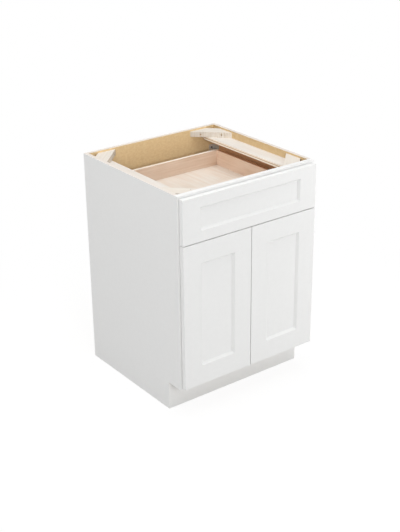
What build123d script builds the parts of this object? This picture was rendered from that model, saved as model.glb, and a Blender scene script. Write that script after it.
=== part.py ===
from build123d import *
import math
import os

# Double door base cabinet with one drawer. Millimetres, +Z up, doors face -Y.
# Origin on the floor, at the middle of the width and of the whole depth.

# Overall
CABINET_WIDTH = 630.0
CABINET_HEIGHT = 876.3
BOX_DEPTH = 605.0

# Carcass boards
SIDE_THICKNESS = 15.0
BACK_THICKNESS = 15.0
BOTTOM_THICKNESS = 13.0
DADO_DEPTH = 6.0
RABBET_DEPTH = 6.0

# Toe space
TOE_HEIGHT = 114.3
TOE_RECESS = 76.0
TOE_SKIN_THICKNESS = 5.0
TOE_BOARD_THICKNESS = 15.0

# Face frame
FRAME_THICKNESS = 19.0
FRAME_STILE_WIDTH = 38.0
TOP_RAIL_HEIGHT = 38.0
MIDDLE_RAIL_HEIGHT = 38.0
BOTTOM_RAIL_HEIGHT = 38.0
TENON_LENGTH = 10.0
TENON_THICKNESS = 6.5
TENON_SHOULDER = 7.0

# Top stretchers and corner blocks
STRETCHER_WIDTH = 68.0
STRETCHER_THICKNESS = 14.5
STRETCHER_DROP = 29.0
STRETCHER_END_GAP = 20.0
BLOCK_THICKNESS = 22.0
BLOCK_NEAR_LEG = 40.0
BLOCK_FAR_LEG = 120.0
BLOCK_SCREW_RADIUS = 2.0
BLOCK_SCREW_HEAD_RADIUS = 3.2
BLOCK_SCREW_HEAD_HEIGHT = 3.0
BLOCK_COUNTERBORE_RADIUS = 3.6
BLOCK_COUNTERBORE_DEPTH = 5.0
BLOCK_SCREW_BITE = 9.0
WORKTOP_HOLE_RADIUS = 2.25
WORKTOP_HOLE_MARGIN = 10.0
WORKTOP_HOLE_INSET = 28.0

# Shelf on pins
SHELF_THICKNESS = 18.0
SHELF_DEPTH = 305.0
SHELF_PLAY = 1.5
SHELF_HEIGHT = 400.0
PIN_ROW_STEP = 32.0
PIN_ROWS_EACH_WAY = 3
PIN_RADIUS = 2.5
PIN_HOLE_DEPTH = 10.0
PIN_EDGE_DISTANCE = 37.0
PIN_LEDGE_LENGTH = 7.0
PIN_LEDGE_WIDTH = 10.0
PIN_LEDGE_THICKNESS = 3.0

# Doors and drawer front
FRONT_THICKNESS = 19.0
BUMPER_GAP = 2.5
SIDE_REVEAL = 6.8
TOP_REVEAL = 9.8
BOTTOM_REVEAL = 8.7
FRONT_GAP = 3.2
DRAWER_FRONT_HEIGHT = 170.2
DOOR_STILE_WIDTH = 84.0
DOOR_RAIL_HEIGHT = 86.0
DRAWER_STILE_WIDTH = 85.0
DRAWER_RAIL_HEIGHT = 48.6
STICKING_WIDTH = 8.0
STICKING_DEPTH = 8.0
PANEL_RECESS = 9.0
PANEL_THICKNESS = 6.4
GROOVE_DEPTH = 10.0
PANEL_PLAY = 0.5
ARRIS_RADIUS = 1.0
BUMPER_RADIUS = 4.0
BUMPER_CLEARANCE = 0.2

# Concealed hinges
HINGE_PIN_INSET = 6.8
HINGE_PIN_DEPTH = 9.5
HINGE_END_DISTANCE = 90.0
HINGE_PIN_RADIUS = 1.0
HINGE_PIN_CLEARANCE = 0.05
HINGE_PIN_END_COVER = 0.2
KNUCKLE_RADIUS = 2.0
ARM_THICKNESS = 1.5
ARM_WIDTH = 6.0
HINGE_PLATE_HEIGHT = 40.0
HINGE_PLATE_SETBACK = 3.0
CUP_RADIUS = 17.5
CUP_EDGE_DISTANCE = 3.0
CUP_DEPTH = 13.0
CUP_WALL = 0.8
CUP_FLANGE_WIDTH = 1.2
CUP_FLANGE_THICKNESS = 1.0

# Drawer box
DRAWER_HEIGHT = 75.0
DRAWER_REAR_GAP = 70.0
DRAWER_BOARD = 12.7
DRAWER_LIFT = 8.3
DRAWER_BOTTOM_THICKNESS = 6.4
DRAWER_GROOVE_HEIGHT = 6.2
DRAWER_GROOVE_DEPTH = 6.0
DOVETAIL_COUNT = 3
DOVETAIL_SLOPE = 0.14
FRONT_SCREW_MARGIN = 12.0

# Drawer slides
SLIDE_WIDTH = 12.7
SLIDE_HEIGHT = 45.7
SLIDE_SETBACK = 1.5
SLIDE_REAR_GAP = 68.5
SLIDE_STEEL = 1.2
SLIDE_PLAY = 0.4
SLIDE_WEB_STEP = 3.2
SLIDE_LIP_SETBACK = 2.0
BRACKET_STEEL = 1.5
BRACKET_LAP = 15.0
BRACKET_INNER_REACH = 2.0
BRACKET_FLANGE_LENGTH = 36.0
BRACKET_RISE = 12.0
BRACKET_SCREW_INSET = 12.0

# Small screws
SCREW_RADIUS = 1.75
SCREW_LENGTH = 10.0
SCREW_HEAD_RADIUS = 3.2
SCREW_HEAD_HEIGHT = 1.2
SCREW_CLEARANCE = 0.05

# Planes and edges that the pieces share
half_width = CABINET_WIDTH / 2
rear_y = (BOX_DEPTH + BUMPER_GAP + FRONT_THICKNESS) / 2
frame_y = rear_y - BOX_DEPTH
frame_back_y = frame_y + FRAME_THICKNESS
fronts_back_y = frame_y - BUMPER_GAP
fronts_face_y = fronts_back_y - FRONT_THICKNESS
back_y = rear_y - BACK_THICKNESS
inner_x = half_width - SIDE_THICKNESS
opening_x = half_width - FRAME_STILE_WIDTH
toe_y = frame_y + TOE_RECESS
notch_y = toe_y + TOE_SKIN_THICKNESS

floor_top = TOE_HEIGHT + BOTTOM_RAIL_HEIGHT
floor_under = floor_top - BOTTOM_THICKNESS
drawer_front_top = CABINET_HEIGHT - TOP_REVEAL
drawer_front_bottom = drawer_front_top - DRAWER_FRONT_HEIGHT
door_top = drawer_front_bottom - FRONT_GAP
door_bottom = TOE_HEIGHT + BOTTOM_REVEAL
middle_rail_bottom = (drawer_front_bottom + door_top - MIDDLE_RAIL_HEIGHT) / 2
middle_rail_top = middle_rail_bottom + MIDDLE_RAIL_HEIGHT
top_rail_bottom = CABINET_HEIGHT - TOP_RAIL_HEIGHT
stretcher_top = CABINET_HEIGHT - STRETCHER_DROP
fronts_half_width = half_width - SIDE_REVEAL

drawer_half_width = opening_x - SLIDE_WIDTH
drawer_floor = middle_rail_top + DRAWER_LIFT
drawer_top = drawer_floor + DRAWER_HEIGHT
drawer_rear_y = back_y - DRAWER_REAR_GAP
slide_z = drawer_floor + DRAWER_HEIGHT / 2
slide_front_y = frame_y + SLIDE_SETBACK
slide_rear_y = back_y - SLIDE_REAR_GAP

hinge_x = HINGE_PIN_INSET - fronts_half_width
hinge_y = fronts_back_y - HINGE_PIN_DEPTH
hinge_heights = (door_bottom + HINGE_END_DISTANCE, door_top - HINGE_END_DISTANCE)
pin_far_side = CUP_RADIUS + CUP_EDGE_DISTANCE - HINGE_PIN_INSET + HINGE_PIN_RADIUS
pin_half_length = math.sqrt(CUP_RADIUS**2 - pin_far_side**2) - HINGE_PIN_END_COVER

parts = {}


def block(x0, x1, y0, y1, z0, z1):
    """A box between two corners."""
    centre = Pos((x0 + x1) / 2, (y0 + y1) / 2, (z0 + z1) / 2)
    return centre * Box(abs(x1 - x0), abs(y1 - y0), abs(z1 - z0))


def rod(start, direction, radius, length):
    """A round bar that starts at a point and runs along a direction."""
    seat = Plane(origin=start, z_dir=direction)
    return seat * Cylinder(radius, length, align=(Align.CENTER, Align.CENTER, Align.MIN))


def prism_z(points, z0, z1):
    """An XY outline raised between two heights."""
    return Pos(0, 0, z0) * extrude(make_face(Polyline(*points, close=True)), z1 - z0, dir=(0, 0, 1))


def flipped(shape):
    """The same piece on the other side of the cabinet."""
    return mirror(shape, about=Plane.YZ)


def group(solids):
    """Separate solids that share one node."""
    return Compound(children=list(solids))


def pan_screw(seat, direction, length=SCREW_LENGTH):
    """A pan head screw whose head sits on a surface and whose shank runs along a direction."""
    into = Vector(*direction)
    head = rod(seat, -into, SCREW_HEAD_RADIUS, SCREW_HEAD_HEIGHT)
    return head + rod(seat, into, SCREW_RADIUS, length)


def screw_hole(seat, direction, length=SCREW_LENGTH):
    """The room that the shank of a pan head screw takes."""
    return rod(seat, direction, SCREW_RADIUS + SCREW_CLEARANCE, length + SCREW_CLEARANCE)


# Corner blocks

def corner_point(side, end, across, along):
    """A plan point measured from an inner corner of the carcass."""
    wall_y = back_y if end == "rear" else frame_back_y
    inward = -1 if end == "rear" else 1
    return (side * (inner_x - across), wall_y + inward * along)


def block_screw_lines(side, end):
    """Start and direction of the two slanting screws of a corner block."""
    inward = -1 if end == "rear" else 1
    height = stretcher_top + BLOCK_THICKNESS / 2
    toward_corner = Vector(side, -inward, 0).normalized()
    for share in (0.25, 0.75):
        x, y = corner_point(side, end, BLOCK_FAR_LEG * share, BLOCK_FAR_LEG * (1 - share))
        yield Vector(x, y, height), toward_corner


def block_screw_reach():
    """Length of a block screw from its seat to its tip in the wall."""
    to_wall = BLOCK_FAR_LEG * 0.25 * math.sqrt(2)
    return to_wall - BLOCK_COUNTERBORE_DEPTH + BLOCK_SCREW_BITE


def block_screw(start, toward):
    seat = start + toward * BLOCK_COUNTERBORE_DEPTH
    head = rod(seat, -toward, BLOCK_SCREW_HEAD_RADIUS, BLOCK_SCREW_HEAD_HEIGHT)
    return head + rod(seat, toward, BLOCK_SCREW_RADIUS, block_screw_reach())


def block_screw_hole(start, toward):
    seat = start + toward * BLOCK_COUNTERBORE_DEPTH
    mouth = rod(start - toward, toward, BLOCK_COUNTERBORE_RADIUS, BLOCK_COUNTERBORE_DEPTH + 1)
    reach = block_screw_reach() + SCREW_CLEARANCE
    return mouth + rod(seat, toward, BLOCK_SCREW_RADIUS + SCREW_CLEARANCE, reach)


def worktop_hole(side, end):
    x, y = corner_point(side, end, STRETCHER_WIDTH + WORKTOP_HOLE_MARGIN, WORKTOP_HOLE_INSET)
    return rod((x, y, stretcher_top), (0, 0, 1), WORKTOP_HOLE_RADIUS, BLOCK_THICKNESS)


def corner_block(side, end):
    outline = [
        corner_point(side, end, BLOCK_NEAR_LEG, 0),
        corner_point(side, end, BLOCK_FAR_LEG, 0),
        corner_point(side, end, 0, BLOCK_FAR_LEG),
        corner_point(side, end, 0, BLOCK_NEAR_LEG),
    ]
    wood = prism_z(outline, stretcher_top, stretcher_top + BLOCK_THICKNESS)
    for line in block_screw_lines(side, end):
        wood -= block_screw_hole(*line)
    return wood - worktop_hole(side, end)


corners = [(side, end) for end in ("front", "rear") for side in (-1, 1)]
block_lines = [line for corner in corners for line in block_screw_lines(*corner)]
block_holes = [block_screw_hole(*line) for line in block_lines]
for side, end in corners:
    name = f"{end}_{'left' if side < 0 else 'right'}_corner_block"
    parts[name] = corner_block(side, end)
parts["corner_block_screws"] = group(block_screw(*line) for line in block_lines)


# Shelf, its pins and the rows of pin holes

shelf_rear_y = back_y - SHELF_PLAY
shelf_front_y = shelf_rear_y - SHELF_DEPTH
pin_columns = (shelf_front_y + PIN_EDGE_DISTANCE, shelf_rear_y - PIN_EDGE_DISTANCE)
pin_z = SHELF_HEIGHT - PIN_RADIUS


def pin_hole(y, z):
    return rod((-inner_x, y, z), (-1, 0, 0), PIN_RADIUS + SCREW_CLEARANCE, PIN_HOLE_DEPTH)


def shelf_pin(y):
    peg = rod((-inner_x, y, pin_z), (-1, 0, 0), PIN_RADIUS, PIN_HOLE_DEPTH)
    ledge = block(-inner_x, -inner_x + PIN_LEDGE_LENGTH, y - PIN_LEDGE_WIDTH / 2,
                  y + PIN_LEDGE_WIDTH / 2, SHELF_HEIGHT - PIN_LEDGE_THICKNESS, SHELF_HEIGHT)
    return peg + ledge


left_pins = [shelf_pin(y) for y in pin_columns]
parts["shelf_pins"] = group(left_pins + [flipped(pin) for pin in left_pins])
shelf_x = inner_x - SHELF_PLAY
parts["adjustable_shelf"] = block(-shelf_x, shelf_x, shelf_front_y, shelf_rear_y,
                                  SHELF_HEIGHT, SHELF_HEIGHT + SHELF_THICKNESS)


# Carcass boards

def left_side_panel():
    board = block(-half_width, -inner_x, frame_back_y, rear_y, 0, CABINET_HEIGHT)
    board -= block(-half_width, -inner_x, frame_back_y, notch_y, 0, TOE_HEIGHT)
    board -= block(-inner_x - DADO_DEPTH, -inner_x, frame_back_y, back_y, floor_under, floor_top)
    board -= block(-inner_x - RABBET_DEPTH, -inner_x, back_y, rear_y, 0, CABINET_HEIGHT)
    for row in range(-PIN_ROWS_EACH_WAY, PIN_ROWS_EACH_WAY + 1):
        for y in pin_columns:
            board -= pin_hole(y, pin_z + row * PIN_ROW_STEP)
    for hole in block_holes:
        board -= hole
    return board


parts["left_side_panel"] = left_side_panel()
parts["right_side_panel"] = flipped(parts["left_side_panel"])

floor_x = inner_x + DADO_DEPTH
parts["bottom_panel"] = block(-floor_x, floor_x, frame_back_y, back_y, floor_under, floor_top)
parts["toe_kick_board"] = block(-inner_x, inner_x, notch_y, notch_y + TOE_BOARD_THICKNESS, 0, floor_under)
parts["toe_kick_skin"] = block(-half_width, half_width, toe_y, notch_y, 0, TOE_HEIGHT)

left_stretcher = block(-inner_x, STRETCHER_WIDTH - inner_x, frame_back_y + STRETCHER_END_GAP,
                       back_y - STRETCHER_END_GAP, stretcher_top - STRETCHER_THICKNESS, stretcher_top)
parts["left_top_stretcher"] = left_stretcher
parts["right_top_stretcher"] = flipped(left_stretcher)


# Drawer slides: three nested channels a side

def channel(web_x, lip_x, half_height):
    """A steel channel along the drawer's travel, its web at one X and its lips reaching to another."""
    low, high = sorted((web_x, lip_x))
    body = block(low, high, slide_front_y, slide_rear_y, slide_z - half_height, slide_z + half_height)
    toward_lips = math.copysign(SLIDE_STEEL, lip_x - web_x)
    hollow_half = half_height - SLIDE_STEEL
    low, high = sorted((web_x + toward_lips, lip_x))
    return body - block(low, high, slide_front_y, slide_rear_y, slide_z - hollow_half, slide_z + hollow_half)


cabinet_half = SLIDE_HEIGHT / 2
middle_half = cabinet_half - SLIDE_STEEL - SLIDE_PLAY
inner_half = middle_half - SLIDE_STEEL - SLIDE_PLAY
middle_web_x = opening_x - SLIDE_WEB_STEP
cabinet_member = channel(opening_x, drawer_half_width + SLIDE_STEEL + SLIDE_LIP_SETBACK, cabinet_half)
middle_member = channel(middle_web_x, drawer_half_width + SLIDE_STEEL + SLIDE_PLAY, middle_half)
drawer_member = channel(drawer_half_width, middle_web_x - SLIDE_STEEL - SLIDE_PLAY, inner_half)

bracket_x0 = opening_x - BRACKET_INNER_REACH
bracket_face_y = back_y - BRACKET_STEEL
bracket_low = slide_z - cabinet_half
bracket_high = slide_z + cabinet_half + BRACKET_RISE
bracket_screw_x = (opening_x + inner_x) / 2
bracket_screw_seats = [
    (bracket_screw_x, bracket_face_y, bracket_high - BRACKET_SCREW_INSET),
    (bracket_screw_x, bracket_face_y, bracket_low + BRACKET_SCREW_INSET),
]
frame_screw_seats = [
    (opening_x - SLIDE_STEEL, frame_y + FRAME_THICKNESS / 2, slide_z + step) for step in (-8.0, 8.0)
]
drawer_screw_seats = [
    (drawer_half_width + SLIDE_STEEL, slide_front_y + share * (slide_rear_y - slide_front_y), slide_z)
    for share in (0.1, 0.5, 0.9)
]


def rear_bracket():
    """An angle in the rear corner, screwed to the back, with an arm that carries the slide."""
    plate = block(bracket_x0, inner_x, bracket_face_y, back_y, bracket_low, bracket_high)
    flange = block(inner_x - BRACKET_STEEL, inner_x, back_y - BRACKET_FLANGE_LENGTH, back_y,
                   bracket_low, bracket_high)
    arm = block(opening_x, opening_x + BRACKET_STEEL, slide_rear_y - BRACKET_LAP, back_y,
                bracket_low + SLIDE_STEEL, slide_z + cabinet_half - SLIDE_STEEL)
    bracket = plate + flange + arm
    for seat in bracket_screw_seats:
        bracket -= screw_hole(seat, (0, 1, 0))
    return bracket


for seat in frame_screw_seats:
    cabinet_member -= screw_hole(seat, (1, 0, 0))
for seat in drawer_screw_seats:
    drawer_member -= screw_hole(seat, (-1, 0, 0))

for name, right_piece in (("cabinet", cabinet_member), ("middle", middle_member), ("drawer", drawer_member)):
    parts[f"right_slide_{name}_member"] = right_piece
    parts[f"left_slide_{name}_member"] = flipped(right_piece)
right_bracket = rear_bracket()
parts["slide_rear_brackets"] = group([right_bracket, flipped(right_bracket)])
right_screws = [pan_screw(seat, (0, 1, 0)) for seat in bracket_screw_seats]
right_screws += [pan_screw(seat, (1, 0, 0)) for seat in frame_screw_seats]
parts["slide_screws"] = group(right_screws + [flipped(screw) for screw in right_screws])
right_screws = [pan_screw(seat, (-1, 0, 0)) for seat in drawer_screw_seats]
parts["drawer_slide_screws"] = group(right_screws + [flipped(screw) for screw in right_screws])


def back_panel():
    back_x = inner_x + RABBET_DEPTH
    board = block(-back_x, back_x, back_y, rear_y, 0, CABINET_HEIGHT)
    for seat in bracket_screw_seats:
        board -= screw_hole(seat, (0, 1, 0))
        board -= flipped(screw_hole(seat, (0, 1, 0)))
    for hole in block_holes:
        board -= hole
    return board


parts["back_panel"] = back_panel()


# Concealed hinges: arm on the frame stile, cup in the door, one pin between them

plate_front_y = frame_y + HINGE_PLATE_SETBACK
plate_rear_y = frame_back_y - HINGE_PLATE_SETBACK
plate_mid_y = (plate_front_y + plate_rear_y) / 2
plate_face_x = ARM_THICKNESS - opening_x
cup_x = CUP_EDGE_DISTANCE + CUP_RADIUS - fronts_half_width
hinge_screw_seats = [
    (plate_face_x, plate_mid_y, z + step * HINGE_PLATE_HEIGHT / 3) for z in hinge_heights for step in (-1, 1)
]


def hinge_arm(z):
    half = ARM_WIDTH / 2
    leg_y = hinge_y - KNUCKLE_RADIUS
    arm = block(hinge_x, plate_face_x, leg_y, leg_y + ARM_THICKNESS, z - half, z + half)
    arm += block(-opening_x, plate_face_x, leg_y, plate_rear_y, z - half, z + half)
    arm += block(-opening_x, plate_face_x, plate_front_y, plate_rear_y,
                 z - HINGE_PLATE_HEIGHT / 2, z + HINGE_PLATE_HEIGHT / 2)
    arm += rod((hinge_x, hinge_y, z - half), (0, 0, 1), KNUCKLE_RADIUS, ARM_WIDTH)
    arm -= rod((hinge_x, hinge_y, z - half), (0, 0, 1), HINGE_PIN_RADIUS + HINGE_PIN_CLEARANCE, ARM_WIDTH)
    for seat in hinge_screw_seats:
        arm -= screw_hole(seat, (-1, 0, 0))
    return arm


def hinge_pin(z):
    return rod((hinge_x, hinge_y, z - pin_half_length), (0, 0, 1), HINGE_PIN_RADIUS, 2 * pin_half_length)


def hinge_cup(z):
    mouth = (cup_x, fronts_back_y, z)
    rim = rod(mouth, (0, 1, 0), CUP_RADIUS + CUP_FLANGE_WIDTH, CUP_FLANGE_THICKNESS)
    cup = rim + rod(mouth, (0, -1, 0), CUP_RADIUS, CUP_DEPTH)
    rim_y = fronts_back_y + CUP_FLANGE_THICKNESS
    hollow_depth = CUP_FLANGE_THICKNESS + CUP_DEPTH - CUP_WALL
    cup -= rod((cup_x, rim_y, z), (0, -1, 0), CUP_RADIUS - CUP_WALL, hollow_depth)
    return cup - hinge_pin(z)


def cup_pocket(z):
    depth = CUP_DEPTH + SCREW_CLEARANCE
    return rod((cup_x, fronts_back_y, z), (0, -1, 0), CUP_RADIUS + SCREW_CLEARANCE, depth)


left_arms = [hinge_arm(z) for z in hinge_heights]
parts["hinge_arms"] = group(left_arms + [flipped(arm) for arm in left_arms])
left_screws = [pan_screw(seat, (-1, 0, 0)) for seat in hinge_screw_seats]
parts["hinge_arm_screws"] = group(left_screws + [flipped(screw) for screw in left_screws])


# Face frame: rails tenoned into the stiles

rail_spans = {
    "top": (top_rail_bottom, CABINET_HEIGHT),
    "middle": (middle_rail_bottom, middle_rail_top),
    "bottom": (TOE_HEIGHT, floor_top),
}
tenon_y0 = frame_y + (FRAME_THICKNESS - TENON_THICKNESS) / 2
tenon_y1 = tenon_y0 + TENON_THICKNESS
tenon_x = opening_x + TENON_LENGTH


def rail_tenon(z0, z1):
    return block(-tenon_x, tenon_x, tenon_y0, tenon_y1, z0 + TENON_SHOULDER, z1 - TENON_SHOULDER)


def frame_rail(z0, z1):
    rail = block(-opening_x, opening_x, frame_y, frame_back_y, z0, z1) + rail_tenon(z0, z1)
    for hole in block_holes:
        rail -= hole
    return rail


def frame_left_stile():
    stile = block(-half_width, -opening_x, frame_y, frame_back_y, TOE_HEIGHT, CABINET_HEIGHT)
    for span in rail_spans.values():
        stile -= rail_tenon(*span)
    for seat in frame_screw_seats:
        stile -= flipped(screw_hole(seat, (1, 0, 0)))
    for seat in hinge_screw_seats:
        stile -= screw_hole(seat, (-1, 0, 0))
    for hole in block_holes:
        stile -= hole
    return stile


for name, span in rail_spans.items():
    parts[f"frame_{name}_rail"] = frame_rail(*span)
parts["frame_left_stile"] = frame_left_stile()
parts["frame_right_stile"] = flipped(parts["frame_left_stile"])


# Five-piece fronts: stiles, coped rails and a recessed flat panel

groove_y0 = fronts_face_y + PANEL_RECESS
groove_y1 = groove_y0 + PANEL_THICKNESS


def rounded_board(x0, x1, z0, z1, keep_sharp):
    """A front board with its outer face edges eased, all but those on the named sides."""
    board = block(x0, x1, fronts_face_y, fronts_back_y, z0, z1)
    sides = {"x0": (0, x0), "x1": (0, x1), "z0": (2, z0), "z1": (2, z1)}
    eased = []
    for edge in board.edges():
        middle = tuple(edge.center())
        if abs(middle[1] - fronts_face_y) > 0.01:
            continue
        on = [s for s, (axis, value) in sides.items() if abs(middle[axis] - value) < 0.01]
        if on and on[0] not in keep_sharp:
            eased.append(edge)
    return fillet(eased, ARRIS_RADIUS)


def front_stile(x_outer, x_inner, z0, z1):
    """A stile with a panel groove and a bevel down to the panel along its inner edge."""
    low, high = sorted((x_outer, x_inner))
    stile = rounded_board(low, high, z0, z1, "x1" if x_inner == high else "x0")
    back_in = math.copysign(1, x_outer - x_inner)
    stile -= block(x_inner, x_inner + back_in * GROOVE_DEPTH, groove_y0, groove_y1, z0, z1)
    bevel = [
        (x_inner, fronts_face_y),
        (x_inner + back_in * STICKING_WIDTH, fronts_face_y),
        (x_inner, fronts_face_y + STICKING_DEPTH),
    ]
    return stile - prism_z(bevel, z0, z1)


def front_rail(x0, x1, z_outer, z_inner, stiles):
    """A rail coped over the stiles' bevels, with a stub tenon in their grooves."""
    low, high = sorted((z_outer, z_inner))
    reach0 = x0 - STICKING_WIDTH
    reach1 = x1 + STICKING_WIDTH
    rail = rounded_board(reach0, reach1, low, high, ("x0", "x1", "z1" if z_inner == high else "z0"))
    back_in = math.copysign(1, z_outer - z_inner)
    rail -= block(reach0, reach1, groove_y0, groove_y1, z_inner, z_inner + back_in * GROOVE_DEPTH)
    bevel = [
        (reach0, fronts_face_y, z_inner),
        (reach0, fronts_face_y, z_inner + back_in * STICKING_WIDTH),
        (reach0, fronts_face_y + STICKING_DEPTH, z_inner),
    ]
    rail -= extrude(make_face(Polyline(*bevel, close=True)), reach1 - reach0, dir=(1, 0, 0))
    for stile in stiles:
        rail -= stile
    return rail


def five_piece_front(x0, x1, z0, z1, stile_width, rail_height):
    """The five boards of a front, as a dictionary of plain piece names."""
    left = front_stile(x0, x0 + stile_width, z0, z1)
    right = front_stile(x1, x1 - stile_width, z0, z1)
    rail_x0 = x0 + stile_width
    rail_x1 = x1 - stile_width
    reach = GROOVE_DEPTH - PANEL_PLAY
    return {
        "left_stile": left,
        "right_stile": right,
        "top_rail": front_rail(rail_x0, rail_x1, z1, z1 - rail_height, (left, right)),
        "bottom_rail": front_rail(rail_x0, rail_x1, z0, z0 + rail_height, (left, right)),
        "panel": block(rail_x0 - reach, rail_x1 + reach, groove_y0, groove_y1,
                       z0 + rail_height - reach, z1 - rail_height + reach),
    }


def bumper(x, z):
    return rod((x, fronts_back_y, z), (0, 1, 0), BUMPER_RADIUS, BUMPER_GAP - BUMPER_CLEARANCE)


# Doors

left_door = five_piece_front(-fronts_half_width, -FRONT_GAP / 2, door_bottom, door_top,
                             DOOR_STILE_WIDTH, DOOR_RAIL_HEIGHT)
for z in hinge_heights:
    left_door["left_stile"] -= cup_pocket(z)
door_names = {
    "left_stile": "hinge_stile",
    "right_stile": "meeting_stile",
    "top_rail": "top_rail",
    "bottom_rail": "bottom_rail",
    "panel": "panel",
}
left_door = {door_names[piece]: shape for piece, shape in left_door.items()}
bumper_x = -FRONT_GAP / 2 - DOOR_STILE_WIDTH / 4
left_door["bumpers"] = group([
    bumper(bumper_x, (door_bottom + floor_top) / 2),
    bumper(bumper_x, (middle_rail_bottom + door_top) / 2),
])
left_door["hinge_cups"] = group(hinge_cup(z) for z in hinge_heights)
left_door["hinge_pins"] = group(hinge_pin(z) for z in hinge_heights)
for piece, shape in left_door.items():
    parts[f"left_door_{piece}"] = shape
    parts[f"right_door_{piece}"] = flipped(shape)


# Drawer box with dovetailed corners

drawer_inner_x = drawer_half_width - DRAWER_BOARD
bottom_z0 = drawer_floor + DRAWER_GROOVE_HEIGHT
bottom_z1 = bottom_z0 + DRAWER_BOTTOM_THICKNESS
bottom_x = drawer_inner_x + DRAWER_GROOVE_DEPTH
bottom_y0 = fronts_back_y + DRAWER_BOARD - DRAWER_GROOVE_DEPTH
bottom_y1 = drawer_rear_y - DRAWER_BOARD + DRAWER_GROOVE_DEPTH
drawer_bottom = block(-bottom_x, bottom_x, bottom_y0, bottom_y1, bottom_z0, bottom_z1)
tail_step = DRAWER_HEIGHT / DOVETAIL_COUNT


def tails(end_y, inward):
    """The dovetails at one end of both drawer sides, as prisms right across the drawer."""
    root_y = end_y + inward * DRAWER_BOARD
    flare = DRAWER_BOARD * DOVETAIL_SLOPE
    half_root = tail_step / 4
    shapes = []
    for count in range(DOVETAIL_COUNT):
        z = drawer_floor + (count + 0.5) * tail_step
        outline = [
            (-drawer_half_width, end_y, z - half_root - flare),
            (-drawer_half_width, end_y, z + half_root + flare),
            (-drawer_half_width, root_y, z + half_root),
            (-drawer_half_width, root_y, z - half_root),
        ]
        face = make_face(Polyline(*outline, close=True))
        across = extrude(face, 2 * drawer_half_width, dir=(1, 0, 0))
        shapes.append(across - block(-drawer_inner_x, drawer_inner_x, end_y, root_y,
                                     drawer_floor, drawer_top))
    return shapes


front_tails = tails(fronts_back_y, 1)
rear_tails = tails(drawer_rear_y, -1)


def drawer_end(end_y, inward, end_tails):
    """The box front or back, full width, with sockets for the sides' tails."""
    board = block(-drawer_half_width, drawer_half_width, end_y, end_y + inward * DRAWER_BOARD,
                  drawer_floor, drawer_top)
    for tail in end_tails:
        board -= tail
    return board - drawer_bottom


box_front = drawer_end(fronts_back_y, 1, front_tails)
box_back = drawer_end(drawer_rear_y, -1, rear_tails)


def drawer_left_side():
    board = block(-drawer_half_width, -drawer_inner_x, fronts_back_y, drawer_rear_y, drawer_floor, drawer_top)
    board -= box_front
    board -= box_back
    board -= drawer_bottom
    for seat in drawer_screw_seats:
        board -= flipped(screw_hole(seat, (-1, 0, 0)))
    return board


left_box_side = drawer_left_side()
parts["drawer_box_left_side"] = left_box_side
parts["drawer_box_right_side"] = flipped(left_box_side)
parts["drawer_bottom"] = drawer_bottom


# Drawer front and the screws that hold it to the box

drawer_front = five_piece_front(-fronts_half_width, fronts_half_width, drawer_front_bottom,
                                drawer_front_top, DRAWER_STILE_WIDTH, DRAWER_RAIL_HEIGHT)
front_screw_x = drawer_inner_x - FRONT_SCREW_MARGIN
front_screw_length = DRAWER_BOARD + FRONT_THICKNESS / 2
front_screw_seats = [
    (side * front_screw_x, fronts_back_y + DRAWER_BOARD, drawer_floor + share * DRAWER_HEIGHT)
    for side in (-1, 1) for share in (0.35, 0.75)
]
for seat in front_screw_seats:
    hole = screw_hole(seat, (0, -1, 0), front_screw_length)
    box_front -= hole
    for piece in drawer_front:
        drawer_front[piece] -= hole
parts["drawer_box_front"] = box_front
parts["drawer_box_back"] = box_back
parts["drawer_front_screws"] = group(
    pan_screw(seat, (0, -1, 0), front_screw_length) for seat in front_screw_seats
)
for piece, shape in drawer_front.items():
    parts[f"drawer_front_{piece}"] = shape
drawer_bumper_x = (opening_x + fronts_half_width) / 2
drawer_bumper_heights = (
    (drawer_front_bottom + middle_rail_top) / 2,
    (top_rail_bottom + drawer_front_top) / 2,
)
parts["drawer_bumpers"] = group(
    bumper(side * drawer_bumper_x, z) for side in (-1, 1) for z in drawer_bumper_heights
)

os.makedirs("parts", exist_ok=True)
for name, shape in parts.items():
    export_step(shape, f"parts/{name}.step")
print(len(parts), "nodes")
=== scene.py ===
import logging
import math
from dataclasses import dataclass, replace
from enum import Enum
from typing import Callable, Optional, Sequence, Union

import bmesh
import bpy
import numpy as np
from mathutils import Matrix, Vector


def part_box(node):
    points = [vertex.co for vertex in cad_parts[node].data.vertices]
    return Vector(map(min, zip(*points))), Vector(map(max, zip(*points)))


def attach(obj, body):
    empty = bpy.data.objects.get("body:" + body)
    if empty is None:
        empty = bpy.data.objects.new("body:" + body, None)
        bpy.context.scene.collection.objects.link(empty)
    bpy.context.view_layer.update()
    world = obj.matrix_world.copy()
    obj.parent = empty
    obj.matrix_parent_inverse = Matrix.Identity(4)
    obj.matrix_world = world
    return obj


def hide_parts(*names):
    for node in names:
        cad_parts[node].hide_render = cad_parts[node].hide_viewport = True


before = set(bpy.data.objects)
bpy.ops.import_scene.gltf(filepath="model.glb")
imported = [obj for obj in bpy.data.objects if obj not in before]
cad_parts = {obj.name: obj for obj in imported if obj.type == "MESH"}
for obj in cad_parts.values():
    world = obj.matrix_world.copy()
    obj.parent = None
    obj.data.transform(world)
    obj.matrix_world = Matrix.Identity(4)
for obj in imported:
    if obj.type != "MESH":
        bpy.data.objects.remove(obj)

LOG = logging.getLogger("base_cabinet")
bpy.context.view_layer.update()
MM = 0.001
TINY = 0.3 * MM
WELD = 0.001 * MM
# A face that looks along a direction by more than this share counts as facing it.
SQUARELY = 0.7
# How far one step of a seed moves a pattern, in repeats.
SEED_STEP = 3.7
# Strength of each finer layer of a noise.
FINER = 0.55
# The ranges of a noise, and of a sine, over which a pattern changes gradually.
MIDDLE = (0.3, 0.7)
WIDE = (0.2, 0.8)
SWING = (-1.0, 1.0)

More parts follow.
